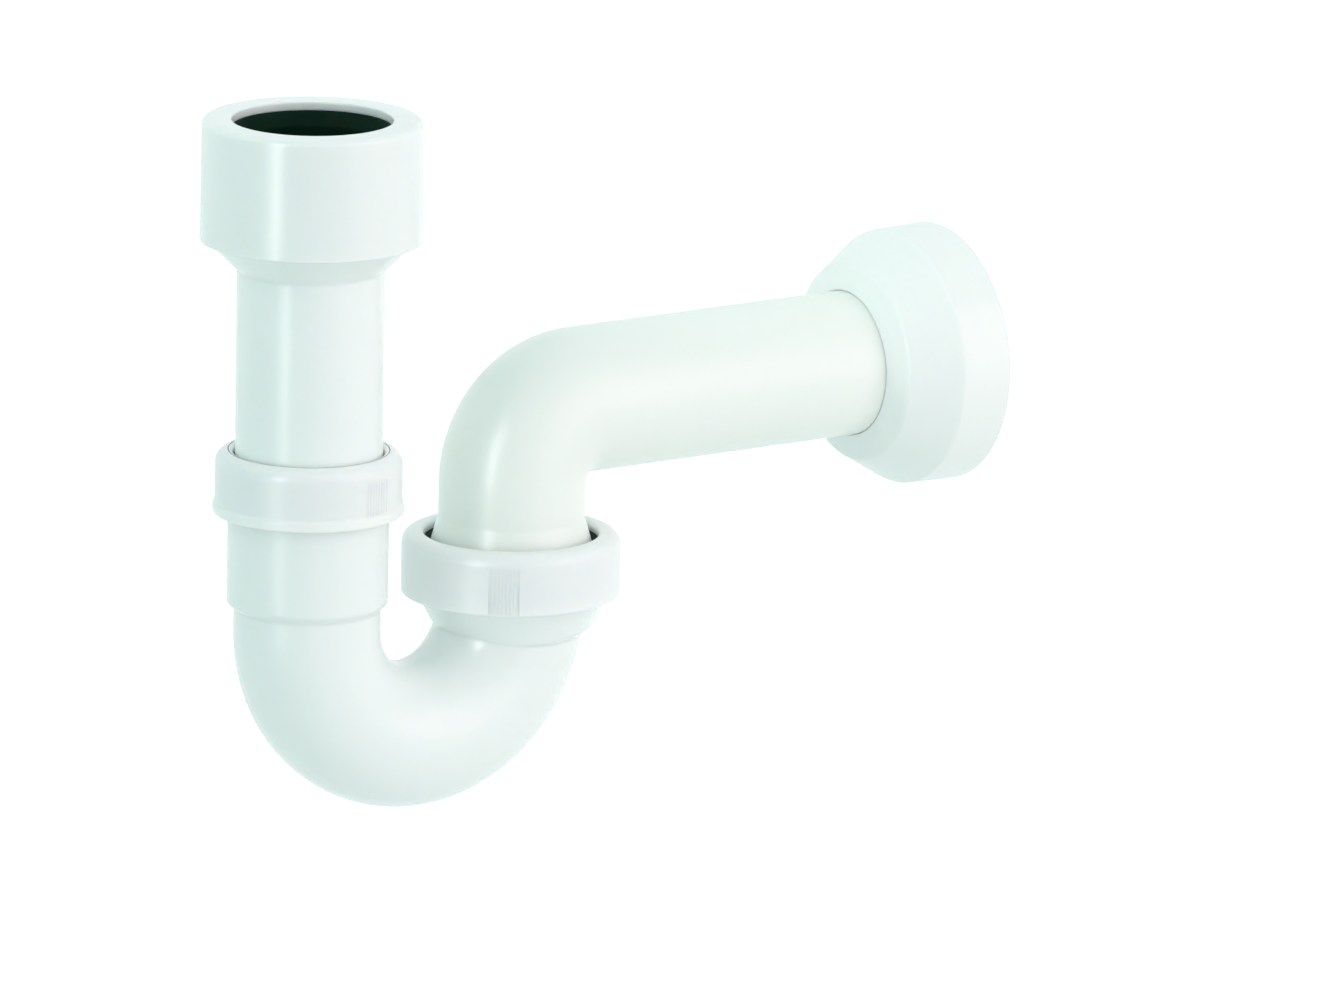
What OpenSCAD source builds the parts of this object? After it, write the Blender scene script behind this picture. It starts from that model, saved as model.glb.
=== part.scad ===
// Urinal trap with a push-fit inlet collar, a telescopic inlet tube, a U-bend,
// a turning outlet bend and a wall rosette. Millimetres, +Z up.
// The origin is the centre of the inlet mouth, and the outlet pipe runs along +X.

/* [Pipes] */
// Outside diameter of the inlet tube, the bend and the outlet pipe
pipe_d = 50; // [47:0.5:53]
// Wall thickness of the pipes
pipe_wall = 2.2; // [1.8:0.1:2.8]
// Distance between the axes of the inlet leg and the outlet leg
leg_gap = 82.4; // [80:0.1:110]
// Centreline radius of the outlet elbow
elbow_radius = 26; // [26:0.5:34]

/* [Heights] */
// Depth of the U-bend's inlet rim below the inlet mouth
inlet_rim_depth = 121.5; // [110:0.5:150]
// Length of inlet tube that stands inside the U-bend's socket
tube_insertion = 28.5; // [22:0.5:32]
// Height of the inlet rim above the centre of the bend
inlet_leg_height = 55.4; // [50:0.1:80]
// Height of the outlet rim above the centre of the bend
outlet_leg_height = 15; // [12:0.1:24]
// Height of the outlet pipe's axis above the outlet rim
elbow_height = 52.3; // [52:0.1:70]

/* [Inlet collar] */
// Outside diameter of the collar cap at its lower edge
collar_d = 75.2; // [73:0.2:82]
// How much narrower the collar cap is at its top
collar_draft = 0.8; // [0:0.1:1.2]
// Height of the collar cap
collar_height = 41.6; // [38:0.2:48]
// Diameter of the opening in the collar cap
collar_bore = 54.4; // [53:0.2:57]
// Wall thickness of the collar cap
cap_wall = 2.5; // [2:0.1:3]
// Thickness of the lip that holds the rubber sleeve down
cap_lip = 3; // [2.4:0.1:4]
// Wall thickness of the cup below the cap
cup_wall = 2.4; // [2:0.1:3]
// Height of the cone between the cup and the tube
cone_height = 10.2; // [9:0.2:16]
// Diameter of the spigot that the rubber sleeve takes
spigot_d = 50; // [46:0.5:51]
// How much smaller than the spigot the sleeve's lands are, in radius
sleeve_grip = 0.5; // [0.3:0.1:1]

/* [Union nuts] */
// Radial width of the seal's seat in the inlet rim
inlet_seat_width = 2.1; // [1.8:0.1:3]
// Wall between the seal's seat and the root of the inlet thread
inlet_rim_wall = 1; // [0.8:0.1:2]
// Wall between the outlet mouth and the root of its thread
outlet_rim_wall = 2.3; // [2:0.1:4]
// Height of a thread ridge, left off the plain thread bands here
thread_height = 0.9; // [0.6:0.1:1.2]
// Radial play between the thread crests and the nut
thread_play = 0.4; // [0.3:0.1:0.6]
// Length of the thread bands
thread_length = 10.4; // [9:0.2:12]
// Wall thickness of the nuts
nut_wall = 2; // [1.8:0.1:2.6]
// Thickness of the inward lip of the nuts
nut_lip = 3; // [2.6:0.1:4]
// Radial gap between the inlet nut's opening and the tube
inlet_nut_gap = 1.1; // [0.6:0.1:2]
// Radial gap between the outlet nut's opening and the skirt
outlet_nut_gap = 3.3; // [1:0.1:4]
// How far the bead round the inlet nut's foot stands out
bead = 0.7; // [0.4:0.1:1.2]
// Height of the bead
bead_height = 4; // [3:0.1:5]
// Height of both nuts
nut_height = 21.4; // [20:0.2:24]
// Rounding of the inlet nut's upper edge
inlet_nut_round = 4.5; // [2:0.1:4.6]
// Rounding of the outlet nut's upper edge
outlet_nut_round = 4.4; // [2:0.1:4.6]
// Width of the ribbed grip panels
panel_width = 10.6; // [8:0.2:14]
// Depth of the ribbed grip panels
panel_depth = 0.7; // [0.4:0.1:0.8]
// Number of fine ribs in a grip panel
panel_ribs = 7; // [4:1:9]

/* [Seals] */
// Height of the inlet seal's flange above the rim
seal_flange = 3; // [2:0.1:4]
// Thickness of the slip ring between the inlet nut and its seal
slip_ring_height = 1.5; // [1:0.1:2]
// Height of the outlet seal above the outlet rim
outlet_seal_height = 6.7; // [6:0.1:8]

/* [Outlet bend and rosette] */
// Length of the outlet pipe from the outlet leg's axis to its end
pipe_run = 183.4; // [175:0.1:260]
// Height over which the outlet skirt flares above its foot
skirt_height = 23; // [21:0.5:24]
// Radius at the foot of the outlet skirt
skirt_foot_r = 31.5; // [30.6:0.1:31.8]
// Depth of the skirt's seat below the outlet rim
skirt_seat_depth = 8; // [7:0.1:8.6]
// Distance from the pipe's end to the rosette's back edge
rosette_setback = 7.8; // [2:0.2:30]
// Outside diameter of the rosette's back edge
rosette_d = 89.4; // [86:0.2:100]
// Depth of the rosette along the pipe
rosette_depth = 38.6; // [34:0.2:44]
// Diameter of the ridge round the rosette's front ring
rosette_ring_d = 69; // [64:0.5:74]
// Wall thickness of the rosette
rosette_wall = 1.8; // [1.4:0.1:2.2]

/* [Hidden] */
$fn = 96;

// Play of a piece that slides on the pipe, and the rubber's sliding fit on it
slide_play = 0.3;
rubber_play = 0.08;
// Step by which a cut passes the face that it opens
over = 1;

// Pipe radii
pipe_r = pipe_d / 2;
bore_r = pipe_r - pipe_wall;

// Collar: the cap round the cup, and the rubber sleeve inside
cap_r = collar_d / 2;
cap_top_r = cap_r - collar_draft / 2;
cup_r = cap_r - cap_wall - collar_draft / 2;
cup_bore_r = cup_r - cup_wall;
lip_bore_r = collar_bore / 2;
sleeve_flange = 1.5;
sleeve_play = 0.1;
lead_in = 5;
lead_width = 2;
cup_rim_z = -cap_lip - sleeve_flange;
ledge_width = 2.2;
ledge_rise = 3;
ledge_z = -collar_height + ledge_rise;
cone_end_z = -collar_height - cone_height;
snap_rise = 7;
snap_z = -collar_height + snap_rise;
snap_r = 0.6;

// Inlet leg: the rim, the seal seat in it, the nut above it and the socket below
inlet_rim_z = -inlet_rim_depth;
bend_z = inlet_rim_z - inlet_leg_height;
tube_end_z = inlet_rim_z - tube_insertion;
socket_bore_r = pipe_r + slide_play;
socket_wall = 2;
socket_r = socket_bore_r + socket_wall;
socket_rise = 10.4;
socket_end_z = bend_z + socket_rise;
socket_step = 2.3;
seat_top_r = socket_bore_r + inlet_seat_width;
inlet_root_r = seat_top_r + inlet_rim_wall;
inlet_nut_bore_r = inlet_root_r + thread_height + thread_play;
inlet_nut_r = inlet_nut_bore_r + nut_wall;
seat_depth = 7.5;
wedge_depth = 5;
inlet_nut_top_z = inlet_rim_z + seal_flange + slip_ring_height + nut_lip;

// Outlet leg: the rim, the seat of the skirt in it and the nut round it
outlet_rim_z = bend_z + outlet_leg_height;
mouth_r = skirt_foot_r + slide_play;
mouth_ledge = 3.5;
outlet_root_r = mouth_r + outlet_rim_wall;
outlet_nut_bore_r = outlet_root_r + thread_height + thread_play;
outlet_nut_r = outlet_nut_bore_r + nut_wall;
skirt_seat_z = outlet_rim_z - skirt_seat_depth;
skirt_top_z = skirt_seat_z + skirt_height;
skirt_slope = (skirt_foot_r - pipe_r) / skirt_height;
skirt_round = 4;
outlet_nut_top_z = outlet_rim_z + outlet_seal_height + nut_lip;
outlet_nut_open_r = skirt_r(outlet_nut_top_z) + outlet_nut_gap;
outlet_axis_z = outlet_rim_z + elbow_height;

// Flare of the U-bend's outlet, from the pipe to the thread band
flare_setback = 1.4;
flare_top_z = outlet_rim_z - thread_length;
flare_top_r = outlet_root_r - flare_setback;
flare_height = 13.4;
flare_foot_r = pipe_r + 1.8;
flare_lead = 4;
flare_end_r = pipe_r - 3.4;
flare_wall = 2.4;
// The flare stands off the leg's axis and leans outwards, and its root runs up into the thread band
flare_offset = 1;
flare_tilt = 5;
flare_root = 3.6;

// Insertion-depth mark, a shallow groove round the pipe's free end
mark_inset = 30;
mark_width = 2;
mark_depth = 0.3;

// Rosette along the outlet pipe
rosette_x = leg_gap + pipe_run - rosette_setback - rosette_depth;
rosette_hole_r = pipe_r + slide_play;
rosette_ring_r = rosette_ring_d / 2;
rosette_r = rosette_d / 2;

// Ribs of the grip panels: their inset from the panel's ends, width, setback from the nut's face and share
panel_inset = 0.7;
rib_width = 0.55;
rib_setback = 0.15;
rib_share = 0.72;

// Finish of the plastic and the rubber
plastic = [0.93, 0.95, 0.94];
rubber = [0.07, 0.09, 0.09];

// Radius of the outlet skirt at height z
function skirt_r(z) = pipe_r + max(0, skirt_top_z - z) * skirt_slope;

function unit(v) = v / norm(v);
function turn(a) = a > 180 ? a - 360 : a < -180 ? a + 360 : a;

// Points that round the corner p1 between p0 and p2 with radius r
function corner(p0, p1, p2, r) =
    r <= 0 ? [p1] :
    let (a = unit(p0 - p1), b = unit(p2 - p1), half = acos(a * b) / 2)
    let (start = p1 + a * r / tan(half), end = p1 + b * r / tan(half))
    let (centre = p1 + unit(a + b) * r / sin(half))
    let (a0 = atan2(start.y - centre.y, start.x - centre.x))
    let (sweep = turn(atan2(end.y - centre.y, end.x - centre.x) - a0))
    let (steps = ceil(abs(sweep) / 10))
    [for (i = [0:steps]) centre + r * [cos(a0 + sweep * i / steps), sin(a0 + sweep * i / steps)]];

// Outline through [x, z, rounding] corners
function rounded(c) =
    let (n = len(c), p = [for (q = c) [q.x, q.y]])
    [for (i = [0:n - 1]) each corner(p[(i + n - 1) % n], p[i], p[(i + 1) % n], c[i].z)];

module turned(corners) {
    rotate_extrude() polygon(rounded(corners));
}

// Half ring of round section below its centre, from the -X side to the +X side
module bend_half(radius, r) {
    rotate([-90, 0, 0]) rotate_extrude(angle = 180) translate([radius, 0]) circle(r = r);
}

// Quarter bend that turns from +Z at the origin towards +X
module elbow_quarter(radius, r) {
    translate([radius, 0, 0]) rotate([90, 0, 0])
        rotate_extrude(angle = 90, start = 90) translate([radius, 0]) circle(r = r);
}

// Snap-on cap: a straight wall, an inward lip and a snap bead low inside
module collar_cap() {
    color(plastic) {
        turned([
            [lip_bore_r, 0, 0.7],
            [cap_top_r, 0, 2],
            [cap_r, -collar_height, 0.8],
            [cup_r, -collar_height, 0],
            [cup_r, -cap_lip, 0],
            [lip_bore_r, -cap_lip, 0]
        ]);
        rotate_extrude() translate([cup_r, snap_z]) circle(r = snap_r, $fn = 24);
    }
}

// Rubber sleeve: a flange over the cup's rim, a lead-in, and grooves between gripping lands
module inlet_seal() {
    land_r = spigot_d / 2 - sleeve_grip;
    grooves = 2;
    groove_depth = 1.4;
    groove_height = 4;
    groove_slant = 0.8;
    groove_start = 13;
    groove_pitch = 9;
    color(rubber) difference() {
        turned([
            [land_r + lead_width, -cap_lip, 0.6],
            [cup_r - sleeve_play, -cap_lip, 0],
            [cup_r - sleeve_play, cup_rim_z, 0],
            [cup_bore_r, cup_rim_z, 0],
            [cup_bore_r, ledge_z, 0],
            [land_r, ledge_z, 0.6],
            [land_r, -cap_lip - lead_in, 2]
        ]);
        for (i = [0:grooves - 1]) {
            translate([0, 0, -cap_lip - groove_start - i * groove_pitch]) turned([
                [land_r - over, 0, 0],
                [land_r + groove_depth, -groove_slant, 0.4],
                [land_r + groove_depth, groove_slant - groove_height, 0.4],
                [land_r - over, -groove_height, 0]
            ]);
        }
    }
}

// One moulding: the cup with a ledge for the sleeve, the cone and the long tube
module inlet_tube() {
    chamfer = 1.2;
    color(plastic) difference() {
        turned([
            [cup_bore_r, cup_rim_z, 0],
            [cup_r, cup_rim_z, 0],
            [cup_r, -collar_height, 0.8],
            [pipe_r, cone_end_z, 2],
            [pipe_r, tube_end_z + chamfer, 0],
            [pipe_r - chamfer, tube_end_z, 0],
            [bore_r, tube_end_z, 0],
            [bore_r, cone_end_z - pipe_wall / 2, 3],
            [cup_bore_r - ledge_width, ledge_z - 1, 0.8],
            [cup_bore_r - ledge_width, ledge_z, 0],
            [cup_bore_r, ledge_z, 0]
        ]);
        rotate_extrude() translate([cup_r, snap_z]) circle(r = snap_r, $fn = 24);
    }
}

// Ribbed grip panels sunk into a nut's wall, opposite each other
module grip_panels(nut_r, top_z, bottom_z, facing) {
    spread = panel_width / nut_r * 180 / PI;
    for (side = [0, 180]) {
        rotate([0, 0, facing + side - spread / 2])
            rotate_extrude(angle = spread)
                translate([nut_r - panel_depth, bottom_z]) square([panel_depth + over, top_z - bottom_z]);
    }
}

module grip_ribs(nut_r, top_z, bottom_z, facing) {
    spread = panel_width / nut_r * 180 / PI;
    rib_root = 0.3;
    // The ribs stand in the middle and leave a plain margin at each side
    pitch = spread * rib_share / (panel_ribs - 1);
    for (side = [0, 180]) {
        for (i = [0:panel_ribs - 1]) {
            rotate([0, 0, facing + side + (i - (panel_ribs - 1) / 2) * pitch])
                translate([nut_r - panel_depth - rib_root, -rib_width / 2, bottom_z])
                    cube([rib_root + panel_depth - rib_setback, rib_width, top_z - bottom_z]);
        }
    }
}

// Nut on the inlet rim, with a rounded shoulder and a bead round its foot
module inlet_nut() {
    open_r = pipe_r + inlet_nut_gap;
    foot_z = inlet_nut_top_z - nut_height;
    panel_top_z = inlet_nut_top_z - inlet_nut_round - 2 * panel_inset;
    panel_foot_z = foot_z + bead_height;
    facing = -76;
    color(plastic) {
        difference() {
            turned([
                [open_r, inlet_nut_top_z, 1.3],
                [inlet_nut_r, inlet_nut_top_z, inlet_nut_round],
                [inlet_nut_r, foot_z + bead_height, 0.4],
                [inlet_nut_r + bead, foot_z + bead_height - 1, 0.5],
                [inlet_nut_r + bead, foot_z, 0.8],
                [inlet_nut_bore_r, foot_z, 0.6],
                [inlet_nut_bore_r, inlet_nut_top_z - nut_lip, 0],
                [open_r, inlet_nut_top_z - nut_lip, 0]
            ]);
            grip_panels(inlet_nut_r, panel_top_z, panel_foot_z, facing);
        }
        grip_ribs(inlet_nut_r, panel_top_z - panel_inset, panel_foot_z, facing);
    }
}

// Thin hard ring that lets the nut turn on the soft seal
module inlet_slip_ring() {
    foot_z = inlet_rim_z + seal_flange;
    color(plastic) turned([
        [pipe_r + slide_play, foot_z, 0],
        [inlet_nut_bore_r - 0.5, foot_z, 0],
        [inlet_nut_bore_r - 0.5, foot_z + slip_ring_height, 0],
        [pipe_r + slide_play, foot_z + slip_ring_height, 0]
    ]);
}

// Wedge seal: a flange on the inlet rim and a taper into its seat
module inlet_wedge_seal() {
    seal_r = pipe_r + rubber_play;
    seat_slope = (seat_top_r - socket_bore_r) / seat_depth;
    color(rubber) turned([
        [seal_r, inlet_rim_z + seal_flange, 0.4],
        [inlet_root_r, inlet_rim_z + seal_flange, 0.4],
        [inlet_root_r, inlet_rim_z, 0],
        [seat_top_r - slide_play, inlet_rim_z, 0],
        [seat_top_r - slide_play - wedge_depth * seat_slope, inlet_rim_z - wedge_depth, 0],
        [seal_r, inlet_rim_z - wedge_depth, 0]
    ]);
}

// Places a form on the leaning axis of the flare
module in_flare() {
    translate([leg_gap + flare_offset, 0, flare_top_z]) rotate([0, -flare_tilt, 0]) children();
}

// One moulding: the inlet socket, the bend and the flared outlet mouth
module u_bend() {
    band_end_z = inlet_rim_z - thread_length;
    bend_radius = leg_gap / 2;
    throat_r = mouth_r - mouth_ledge;
    // Height of the leaning throat past the seat, and the depth at which the flare has come in to its wall
    throat_top = skirt_seat_z - flare_top_z + throat_r * tan(flare_tilt) + over;
    throat_depth = flare_height * (flare_top_r - flare_wall - throat_r) / (flare_top_r - flare_foot_r);
    color(plastic) difference() {
        union() {
            turned([
                [0, inlet_rim_z, 0],
                [inlet_root_r, inlet_rim_z, 0.4],
                [inlet_root_r, band_end_z, 0],
                [socket_r, band_end_z - 0.8, 0],
                [socket_r, socket_end_z, 0.4],
                [pipe_r, socket_end_z - socket_step, 0.4],
                [pipe_r, bend_z, 0],
                [0, bend_z, 0]
            ]);
            translate([bend_radius, 0, bend_z]) bend_half(bend_radius, pipe_r);
            translate([leg_gap, 0, flare_top_z]) cylinder(r = outlet_root_r, h = thread_length);
            in_flare() turned([
                [0, flare_root, 0],
                [flare_top_r, flare_root, 0],
                [flare_top_r, 0, 0],
                [flare_foot_r, -flare_height, 2],
                [flare_end_r, -flare_height - flare_lead, 0],
                [0, -flare_height - flare_lead, 0]
            ]);
        }
        // Socket bore with the seal seat at its mouth
        turned([
            [0, inlet_rim_z + over, 0],
            [seat_top_r, inlet_rim_z + over, 0],
            [seat_top_r, inlet_rim_z, 0],
            [socket_bore_r, inlet_rim_z - seat_depth, 0],
            [socket_bore_r, socket_end_z, 0],
            [bore_r, socket_end_z - 1, 0],
            [bore_r, bend_z, 0],
            [0, bend_z, 0]
        ]);
        translate([bend_radius, 0, bend_z]) bend_half(bend_radius, bore_r);
        // Outlet mouth with the seat of the skirt, and the throat that narrows to the bore
        translate([leg_gap, 0, skirt_seat_z]) cylinder(r = mouth_r, h = skirt_seat_depth + over);
        in_flare() turned([
            [0, throat_top, 0],
            [throat_r, throat_top, 0],
            [throat_r, -throat_depth, 0],
            [flare_foot_r - flare_wall, -flare_height, 2],
            [flare_end_r - flare_wall, -flare_height - flare_lead, 0],
            [0, -flare_height - flare_lead, 0]
        ]);
    }
}

// Larger nut on the outlet rim
module outlet_nut() {
    foot_z = outlet_nut_top_z - nut_height;
    panel_top_z = outlet_nut_top_z - outlet_nut_round - panel_inset;
    facing = -127;
    color(plastic) translate([leg_gap, 0, 0]) {
        difference() {
            turned([
                [outlet_nut_open_r, outlet_nut_top_z, 1.5],
                [outlet_nut_r, outlet_nut_top_z, outlet_nut_round],
                [outlet_nut_r, foot_z, 0.8],
                [outlet_nut_bore_r, foot_z, 0.6],
                [outlet_nut_bore_r, outlet_nut_top_z - nut_lip, 0],
                [outlet_nut_open_r, outlet_nut_top_z - nut_lip, 0]
            ]);
            grip_panels(outlet_nut_r, panel_top_z, foot_z - over, facing);
        }
        grip_ribs(outlet_nut_r, panel_top_z - panel_inset, foot_z + panel_inset, facing);
    }
}

// Rubber ring between the outlet rim, the skirt and the nut's lip
module outlet_seal() {
    top_z = outlet_rim_z + outlet_seal_height;
    color(rubber) translate([leg_gap, 0, 0]) turned([
        [skirt_r(top_z) + slide_play, top_z, 0.5],
        [outlet_root_r, top_z, 1],
        [outlet_root_r, outlet_rim_z, 0],
        [skirt_r(outlet_rim_z) + slide_play, outlet_rim_z, 0]
    ]);
}

// One moulding: the flared skirt, the short leg, the tight elbow and the wall pipe
module outlet_bend() {
    leg_top_z = outlet_axis_z - elbow_radius;
    straight = pipe_run - elbow_radius;
    chamfer = 1;
    color(plastic) translate([leg_gap, 0, 0]) difference() {
        union() {
            turned([
                [0, leg_top_z, 0],
                [pipe_r, leg_top_z, 0],
                [pipe_r, skirt_top_z, skirt_round],
                [skirt_foot_r, skirt_seat_z, 0],
                [0, skirt_seat_z, 0]
            ]);
            translate([0, 0, leg_top_z]) elbow_quarter(elbow_radius, pipe_r);
            translate([elbow_radius, 0, outlet_axis_z]) rotate([0, 90, 0]) turned([
                [0, 0, 0],
                [pipe_r, 0, 0],
                [pipe_r, straight - mark_inset - mark_width, 0],
                [pipe_r - mark_depth, straight - mark_inset - mark_width, 0],
                [pipe_r - mark_depth, straight - mark_inset, 0],
                [pipe_r, straight - mark_inset, 0],
                [pipe_r, straight - chamfer, 0],
                [pipe_r - chamfer, straight, 0],
                [0, straight, 0]
            ]);
        }
        turned([
            [0, leg_top_z, 0],
            [bore_r, leg_top_z, 0],
            [bore_r, skirt_top_z - pipe_wall / 2, skirt_round],
            [skirt_foot_r - pipe_wall, skirt_seat_z - over, 0],
            [0, skirt_seat_z - over, 0]
        ]);
        translate([0, 0, leg_top_z]) elbow_quarter(elbow_radius, bore_r);
        translate([elbow_radius, 0, outlet_axis_z]) rotate([0, 90, 0])
            cylinder(r = bore_r, h = straight + over);
    }
}

// Hollow cover that slides on the outlet pipe up to the wall
module wall_rosette() {
    ring_depth = 3.7;
    cone_depth = 20.1;
    skirt_flare = 0.4;
    hub_depth = 8;
    color(plastic) translate([rosette_x, 0, outlet_axis_z]) rotate([0, 90, 0]) turned([
        [rosette_hole_r, 0, 0.4],
        [rosette_ring_r, ring_depth, 2],
        [rosette_r - skirt_flare, cone_depth, 2.5],
        [rosette_r, rosette_depth, 0],
        [rosette_r - rosette_wall, rosette_depth, 0],
        [rosette_r - skirt_flare - rosette_wall, cone_depth + 0.6, 1.5],
        [rosette_ring_r - 0.9, ring_depth + rosette_wall, 1],
        [rosette_hole_r + rosette_wall, rosette_wall + 0.6, 0.5],
        [rosette_hole_r + rosette_wall, hub_depth, 0],
        [rosette_hole_r, hub_depth, 0]
    ]);
}

collar_cap();
inlet_seal();
inlet_tube();
inlet_nut();
inlet_slip_ring();
inlet_wedge_seal();
u_bend();
outlet_nut();
outlet_seal();
outlet_bend();
wall_rosette();
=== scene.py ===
import math

import bmesh
import bpy
from mathutils import Matrix, Vector


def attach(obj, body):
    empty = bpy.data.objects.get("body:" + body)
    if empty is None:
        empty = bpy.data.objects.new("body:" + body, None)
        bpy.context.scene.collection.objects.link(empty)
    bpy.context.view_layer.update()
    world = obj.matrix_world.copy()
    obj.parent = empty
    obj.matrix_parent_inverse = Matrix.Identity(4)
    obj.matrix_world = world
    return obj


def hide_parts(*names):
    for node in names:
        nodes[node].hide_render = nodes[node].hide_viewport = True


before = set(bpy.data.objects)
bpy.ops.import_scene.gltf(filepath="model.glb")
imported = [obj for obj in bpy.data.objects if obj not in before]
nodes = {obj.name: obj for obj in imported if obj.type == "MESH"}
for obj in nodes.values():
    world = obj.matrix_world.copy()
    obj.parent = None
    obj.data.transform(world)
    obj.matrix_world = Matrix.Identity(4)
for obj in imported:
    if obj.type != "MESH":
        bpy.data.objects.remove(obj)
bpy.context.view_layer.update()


# Collar cap: the wide cap that is snapped over the inlet cup and holds the rubber sleeve in it.
# Injection-moulded white polypropylene with a half-gloss skin: faint orange peel from the mould,
# a slow waviness where the wall shrank, and the slightly cool white of the resin.
class Value:
    """A number that varies over a surface. Sums and products of it become Math nodes."""

    def __init__(self, finish, socket):
        self.finish = finish
        self.socket = socket

    def math(self, operation, other):
        return self.finish.add("ShaderNodeMath", {"operation": operation}, {0: self, 1: other})

    def __add__(self, other):
        return self.math("ADD", other)

    __radd__ = __add__

    def __mul__(self, other):
        return self.math("MULTIPLY", other)

    __rmul__ = __mul__


class Finish:
    """The shader of a material or of the world, with one method that adds a node to it."""

    def __init__(self, owner):
        owner.use_nodes = True
        self.owner = owner
        self.tree = owner.node_tree
        self.tree.nodes.clear()

    def add(self, kind, settings=None, sockets=None, output=0):
        node = self.tree.nodes.new(kind)
        for name, setting in (settings or {}).items():
            setattr(node, name, setting)
        for name, given in (sockets or {}).items():
            if isinstance(given, Value):
                self.tree.links.new(given.socket, node.inputs[name])
            else:
                node.inputs[name].default_value = given
        return Value(self, node.outputs[output]) if node.outputs else None

    def place(self):
        return self.add("ShaderNodeTexCoord", output=3)

    def noise(self, place, per_metre, detail=2.0):
        return self.add(
            "ShaderNodeTexNoise", None, {"Vector": place, "Scale": per_metre, "Detail": detail})

    def between(self, share, first, last):
        """A colour that goes from the first to the last with the share."""
        colours = {0: share, 6: first + (1.0,), 7: last + (1.0,)}
        return self.add("ShaderNodeMix", {"data_type": "RGBA"}, colours, 2)

    def rounded_edges(self, radius):
        return self.add("ShaderNodeBevel", {"samples": 4}, {"Radius": radius})

    def relief(self, height, depth, skin):
        """The skin with a relief of this depth on it."""
        return self.add("ShaderNodeBump", None, {
            "Strength": 1.0, "Distance": depth, "Height": height, "Normal": skin})

    def show_on(self, *pieces):
        for piece in pieces:
            piece.data.materials.clear()
            piece.data.materials.append(self.owner)


clouds_per_metre = 22.0
peel_per_metre = 950.0
peel_depth = 0.000008
sinks_per_metre = 34.0
sink_depth = 0.00016
mean_dulling = 0.04
cloud_dulling = 0.05
peel_dulling = 0.04
light_under_skin = (1.0, 0.9, 0.75)


def moulded_white(name, tint, gloss=0.24, wave=1.0, edge=0.0006, milky=0.5, reach=0.0018):
    """White polypropylene. tint is its two near whites, wave scales the skin's waviness, edge is
    how far its corners look rounded, milky is how much of the light goes under the skin and reach
    how far it goes."""
    white = Finish(bpy.data.materials.new(name))
    place = white.place()
    cloud = white.noise(place, clouds_per_metre)
    peel = white.noise(place, peel_per_metre, 3.0)
    sink = white.noise(place, sinks_per_metre, 1.0)
    waved = white.relief(sink, sink_depth * wave, white.rounded_edges(edge))
    surface = white.add("ShaderNodeBsdfPrincipled", None, {
        "Base Color": white.between(cloud, *tint),
        "Roughness": gloss - mean_dulling + cloud_dulling * cloud + peel_dulling * peel,
        "IOR": 1.49,
        "Subsurface Weight": milky,
        "Subsurface Radius": light_under_skin,
        "Subsurface Scale": reach,
        "Normal": white.relief(peel, peel_depth, waved),
    })
    white.add("ShaderNodeOutputMaterial", None, {"Surface": surface})
    return white


cool_white = ((0.89, 0.935, 0.915), (0.905, 0.94, 0.925))
moulded_white("collar cap white", cool_white, milky=0.8).show_on(nodes["collar_cap"])


# Rubber sleeve: the soft black lining of the cup, with lands that grip the urinal's spigot.
# Moulded EPDM, black with a faint green cast, dull from the fine spark texture of its mould,
# pressed down into the cup on to the ledge before the cap is snapped on.
# The rubber's black varies at random, in blotches, between a deeper black and a slightly lighter,
# greener black.
deeper_rubber_black = (0.002, 0.014, 0.006)
greener_rubber_black = (0.005, 0.028, 0.020)
blooms_per_metre = 60.0
sparks_per_metre = 2200.0
spark_depth = 0.00002
rubber_edge = 0.0004
rubber_roughness = 0.42
bloom_dulling = 0.1
spark_dulling = 0.08

seal_rubber = Finish(bpy.data.materials.new("seal rubber"))
rubber_place = seal_rubber.place()
bloom = seal_rubber.noise(rubber_place, blooms_per_metre)
spark = seal_rubber.noise(rubber_place, sparks_per_metre, 3.0)
rubber_surface = seal_rubber.add("ShaderNodeBsdfPrincipled", None, {
    "Base Color": seal_rubber.between(bloom, deeper_rubber_black, greener_rubber_black),
    "Roughness": rubber_roughness + bloom_dulling * bloom + spark_dulling * spark,
    "IOR": 1.5,
    "Specular IOR Level": 0.03,
    "Normal": seal_rubber.relief(spark, spark_depth, seal_rubber.rounded_edges(rubber_edge)),
})
seal_rubber.add("ShaderNodeOutputMaterial", None, {"Surface": rubber_surface})
seal_rubber.show_on(nodes["inlet_seal"])


# Inlet tube: cup, cone and long tube in one moulding, which telescopes into the U-bend.
# White polypropylene of the same resin as the cap. The long wall cools unevenly, so its
# skin is a little more wavy than the cap's.
moulded_white("inlet tube white", cool_white, wave=1.5).show_on(nodes["inlet_tube"])


# Inlet union nut: turned by hand on the U-bend's rim, with a ribbed grip panel on each side.
# White polypropylene, moulded round a threaded core that is screwed out of it, which leaves
# one ridge that climbs to the right inside the bore.
thread_pitch = 0.004
thread_steps = 72
thread_runout_steps = 9
ridge_half_foot = 0.0009
ridge_half_crest = 0.00035
ridge_bedding = 0.0002
ridge_least_height = 0.02


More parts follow.
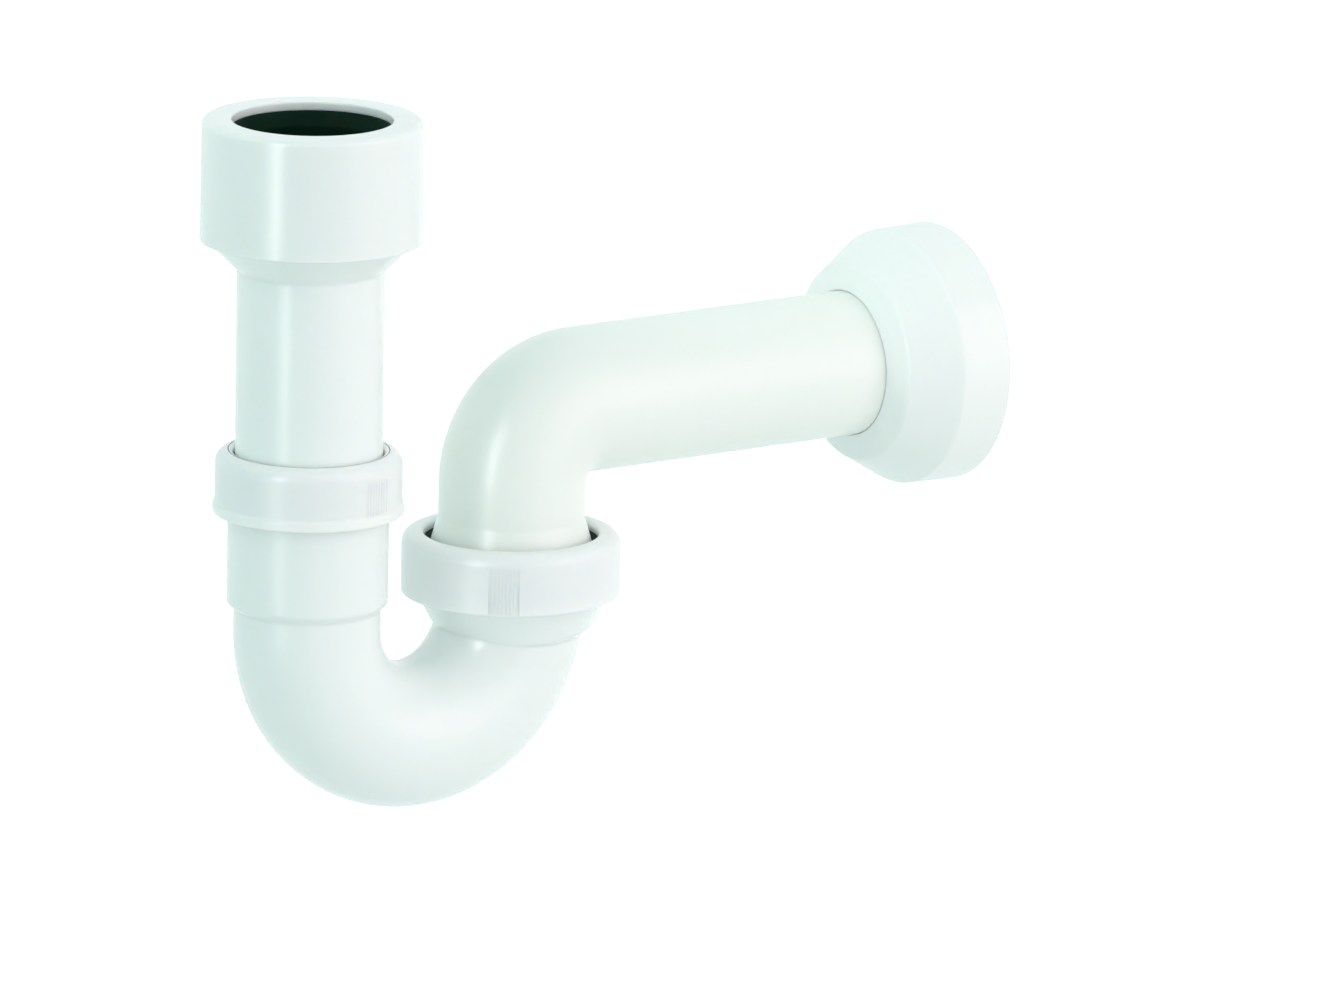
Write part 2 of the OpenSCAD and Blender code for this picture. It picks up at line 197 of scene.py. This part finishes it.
def thread_ridge(name, wall_r, crest_r, low_z, turns):
    """A ridge that climbs to the right round a wall, from low_z, and runs out at both ends."""
    out = 1.0 if crest_r > wall_r else -1.0
    root_r = wall_r - out * ridge_bedding
    outline = ((root_r, -ridge_half_foot), (crest_r, -ridge_half_crest),
               (crest_r, ridge_half_crest), (root_r, ridge_half_foot))
    count = int(turns * thread_steps)
    mesh = bmesh.new()
    rows = []
    for i in range(count + 1):
        angle = 2 * math.pi * i / thread_steps
        z = low_z + thread_pitch * i / thread_steps
        height = min(1.0, i / thread_runout_steps, (count - i) / thread_runout_steps)
        row = []
        for r, dz in outline:
            faded_r = root_r + (r - root_r) * max(height, ridge_least_height)
            point = (faded_r * math.cos(angle), faded_r * math.sin(angle), z + dz)
            row.append(mesh.verts.new(point))
        rows.append(row)
    for a, b in zip(rows, rows[1:]):
        for j in range(4):
            k = (j + 1) % 4
            mesh.faces.new((a[j], b[j], b[k], a[k]))
    mesh.faces.new(rows[0])
    mesh.faces.new(reversed(rows[-1]))
    bmesh.ops.recalc_face_normals(mesh, faces=mesh.faces)
    data = bpy.data.meshes.new(name)
    mesh.to_mesh(data)
    mesh.free()
    for face in data.polygons:
        face.use_smooth = False
    ridge = bpy.data.objects.new(name, data)
    bpy.context.scene.collection.objects.link(ridge)
    return ridge


def remoulded(name, node, body, on_axis, fits):
    """A new piece in a node's place, with some of its skins nearer to or further from a radius.
    on_axis turns the trap's frame into one whose z is the piece's axis. Each fit gives the heights
    and the radii of the skins it moves, and the share that is left of their distance from the
    larger radius."""
    data = nodes[node].data.copy()
    data.name = name
    off_axis = on_axis.inverted()
    for vertex in data.vertices:
        point = on_axis @ vertex.co
        radius = math.hypot(point.x, point.y)
        for (low, high), (inner, outer), share in fits:
            if low < point.z < high and inner < radius < outer:
                wider = (outer - (outer - radius) * share) / radius
                vertex.co = off_axis @ Vector((point.x * wider, point.y * wider, point.z))
    piece = bpy.data.objects.new(name, data)
    bpy.context.scene.collection.objects.link(piece)
    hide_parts(node)
    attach(piece, body)
    return piece


panel_depth = 0.28
inlet_panel = ((-0.13145, -0.11985), (0.0309, 0.0317), panel_depth)
inlet_lip_bore = ((-0.1171, -0.1139), (0.0260, 0.0272), 1.5)
inlet_nut_body = remoulded(
    "inlet_nut_body", "inlet_nut", "inlet_union_nut", Matrix.Identity(4),
    [inlet_panel, inlet_lip_bore])
nut_tint = ((0.945, 0.975, 0.96), (0.96, 0.985, 0.97))
nut_white = moulded_white(
    "union nut white", nut_tint, gloss=0.31, edge=0.00025, milky=1.0, reach=0.0022)
nut_white.show_on(inlet_nut_body)

inlet_rim_z = -0.1215
rim_to_thread = 0.0088
nut_thread_turns = 2.1
inlet_thread_z = inlet_rim_z - rim_to_thread
inlet_nut_thread = thread_ridge(
    "inlet_nut_thread", wall_r=0.0297, crest_r=0.0288,
    low_z=inlet_thread_z - thread_pitch / 2, turns=nut_thread_turns)
nut_white.show_on(inlet_nut_thread)
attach(inlet_nut_thread, "inlet_union_nut")


# Slip ring: the thin hard ring that lets the nut's lip turn without dragging the seal round.
# White polypropylene, cut square on both faces, laid loose under the lip where little of it shows.
moulded_white("slip ring white", cool_white).show_on(nodes["inlet_slip_ring"])


# Wedge seal: the black rubber ring that the nut squeezes between the tube and the bend's rim.
# Moulded in the same rubber as the sleeve, and held by nothing but the nut's pull.
seal_rubber.show_on(nodes["inlet_wedge_seal"])


# U-bend: socket, half-round bend and flared outlet mouth in one moulding, the water seal itself.
# White polypropylene over a curved core. Both rims carry a coarse thread for their nuts, which
# starts a little below the edge and runs out before the shoulder.
moulded_white("u-bend white", cool_white, wave=1.3, edge=0.002).show_on(nodes["u_bend"])
leg_gap = 0.0824
outlet_rim_z = -0.1619
outlet_thread_z = outlet_rim_z - rim_to_thread
rim_thread_turns = 1.8
to_outlet_leg = Matrix.Translation((leg_gap, 0, 0))
rim_white = moulded_white("threaded rim white", cool_white)
inlet_rim_thread = thread_ridge(
    "inlet_rim_thread", wall_r=0.0284, crest_r=0.0293,
    low_z=inlet_thread_z, turns=rim_thread_turns)
outlet_rim_thread = thread_ridge(
    "outlet_rim_thread", wall_r=0.0341, crest_r=0.0350,
    low_z=outlet_thread_z, turns=rim_thread_turns)
outlet_rim_thread.data.transform(to_outlet_leg)
rim_white.show_on(inlet_rim_thread, outlet_rim_thread)
for rim_thread in (inlet_rim_thread, outlet_rim_thread):
    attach(rim_thread, "bend")


# Outlet union nut: the larger of the two nuts, on the flared mouth of the U-bend.
# The same white polypropylene, moulded and ribbed in the same way, with a plain wide lip
# that leaves the outlet bend's skirt free inside it.
outlet_panel = ((-0.17295, -0.1572), (0.0366, 0.0374), panel_depth)
outlet_nut_body = remoulded(
    "outlet_nut_body", "outlet_nut", "outlet_union_nut", to_outlet_leg.inverted(), [outlet_panel])
nut_white.show_on(outlet_nut_body)
outlet_nut_thread = thread_ridge(
    "outlet_nut_thread", wall_r=0.0354, crest_r=0.0345,
    low_z=outlet_thread_z - thread_pitch / 2, turns=nut_thread_turns)
outlet_nut_thread.data.transform(to_outlet_leg)
nut_white.show_on(outlet_nut_thread)
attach(outlet_nut_thread, "outlet_union_nut")


# Outlet seal: the black rubber ring under the outlet nut's lip, seen in the gaps beside the skirt.
# Moulded in the same rubber as the sleeve, and squeezed on to the skirt as the nut is turned down.
seal_rubber.show_on(nodes["outlet_seal"])


# Outlet bend: flared skirt, short leg, tight elbow and the long pipe to the wall, in one moulding.
# White polypropylene, a touch warmer than the cap, with a softer gloss than the inlet's pieces.
pipe_white = ((0.90, 0.935, 0.89), (0.915, 0.945, 0.905))
moulded_white("outlet bend white", pipe_white, gloss=0.31).show_on(nodes["outlet_bend"])


# Wall rosette: the hollow cover that slides on the pipe and hides the hole in the wall.
# A thin white polypropylene shell, moulded in one piece with its short hub, whose bore is
# only just wider than the pipe.
pipe_z = -0.1096
on_pipe = Matrix.Rotation(math.radians(-90.0), 4, "Y") @ Matrix.Translation((0, 0, -pipe_z))
hub_bore = ((0.2195, 0.2275), (0.0252, 0.02586), 1.32)
wall_rosette_body = remoulded("wall_rosette_body", "wall_rosette", "rosette", on_pipe, [hub_bore])
rosette_tint = ((0.905, 0.93, 0.92), (0.92, 0.94, 0.93))
moulded_white("rosette white", rosette_tint, gloss=0.31).show_on(wall_rosette_body)


# The studio: a pale paper floor well under the hanging trap and a white surround. One large soft
# lamp stands to the right and a narrow strip to the left, which only draws the thin upright glints.
# Two small lamps on the left lift the rosette's and the bend's shaded sides.
def seen_or_mirrored(finish):
    """1 where the camera sees a surface directly, in a gloss or through glass."""
    seen = finish.add("ShaderNodeLightPath")
    mirrored = finish.add("ShaderNodeLightPath", output=3)
    through = finish.add("ShaderNodeLightPath", output=6)
    return seen + mirrored + through


fill_colour = (0.80, 1.0, 0.968, 1.0)
fill_strength = 0.785
plain_white = (1.0, 1.0, 1.0, 1.0)
world = bpy.data.worlds.new("white surround")
bpy.context.scene.world = world
surround = Finish(world)
direct = seen_or_mirrored(surround)
fill = surround.add("ShaderNodeBackground", None, {"Color": fill_colour, "Strength": fill_strength})
ground = surround.add("ShaderNodeBackground", None, {"Color": plain_white, "Strength": 1.0})
surround.add("ShaderNodeOutputWorld", None, {
    "Surface": surround.add("ShaderNodeMixShader", None, {0: direct, 1: fill, 2: ground})})

floor_z = -0.56
floor_edge = 14.0
floor_mesh = bpy.data.meshes.new("floor")
floor_mesh.from_pydata(
    [(-floor_edge, -floor_edge, floor_z), (floor_edge, -floor_edge, floor_z),
     (floor_edge, floor_edge, floor_z), (-floor_edge, floor_edge, floor_z)],
    [], [(0, 1, 2, 3)])
floor = bpy.data.objects.new("floor", floor_mesh)
bpy.context.scene.collection.objects.link(floor)
paper_white = (0.86, 0.87, 0.86, 1.0)
paper_grains_per_metre = 40.0
paper_glow = 0.45
paper_grain_glow = 0.01
paper = Finish(bpy.data.materials.new("pale floor"))
grain = paper.noise(paper.place(), paper_grains_per_metre)
matte = paper.add("ShaderNodeBsdfDiffuse", None, {"Color": paper_white})
glow_strength = paper_glow * seen_or_mirrored(paper) + paper_grain_glow * grain
glow = paper.add("ShaderNodeEmission", None, {"Color": plain_white, "Strength": glow_strength})
paper.add("ShaderNodeOutputMaterial", None, {
    "Surface": paper.add("ShaderNodeAddShader", None, {0: matte, 1: glow})})
paper.show_on(floor)


def lamp(name, azimuth, elevation, distance, size, watts, colour, aimed_at=(0.12, 0.0, -0.12)):
    """A soft rectangular lamp that looks at a point of the trap."""
    light = bpy.data.lights.new(name, "AREA")
    light.shape = "RECTANGLE"
    light.size, light.size_y = size
    light.energy = watts
    light.color = colour
    holder = bpy.data.objects.new(name, light)
    a = math.radians(azimuth)
    e = math.radians(elevation)
    back = Vector((math.sin(a) * math.cos(e), -math.cos(a) * math.cos(e), math.sin(e)))
    holder.location = Vector(aimed_at) + back * distance
    holder.rotation_euler = back.to_track_quat("Z", "Y").to_euler()
    bpy.context.scene.collection.objects.link(holder)
    return holder


lamp("soft key", azimuth=27.0, elevation=18.0, distance=3.5, size=(3.0, 3.0), watts=46.5,
     colour=(1.0, 0.71, 0.75))
strip = lamp("strip", azimuth=-70.0, elevation=8.0, distance=2.6, size=(0.36, 2.4), watts=40.0,
             colour=(1.0, 1.0, 1.0))
strip.visible_diffuse = False
rosette_fill = lamp(
    "rosette fill", azimuth=-110.0, elevation=35.0, distance=0.9, size=(0.25, 0.25), watts=0.06,
    colour=(1.0, 0.98, 0.94), aimed_at=(0.27, 0.0, -0.09))
rosette_fill.data.spread = math.radians(30.0)
low_fill = lamp(
    "low fill", azimuth=-78.0, elevation=-8.0, distance=1.2, size=(0.3, 0.3), watts=0.019,
    colour=(1.0, 0.96, 0.97), aimed_at=(-0.01, 0.0, -0.19))
low_fill.data.spread = math.radians(24.0)


# The camera stands where the photographer did: about five metres off, to the left of the trap's
# front and a little above it, with a long lens and the horizon one degree off level.
camera_data = bpy.data.cameras.new("camera")
camera_data.sensor_width = 36.0
camera_data.lens = 393.64
camera_data.clip_end = 60.0
camera = bpy.data.objects.new("camera", camera_data)
camera.location = (-2.60531, -4.03420, 1.03594)
aim = Vector((0.147495, 0.0, -0.149692))
roll = math.radians(0.9903)
back = (camera.location - aim).normalized()
level = back.to_track_quat("Z", "Y").to_matrix().to_4x4()
camera.rotation_euler = (level @ Matrix.Rotation(roll, 4, "Z")).to_euler()
bpy.context.scene.collection.objects.link(camera)
bpy.context.scene.camera = camera
bpy.context.scene.view_settings.view_transform = "Standard"
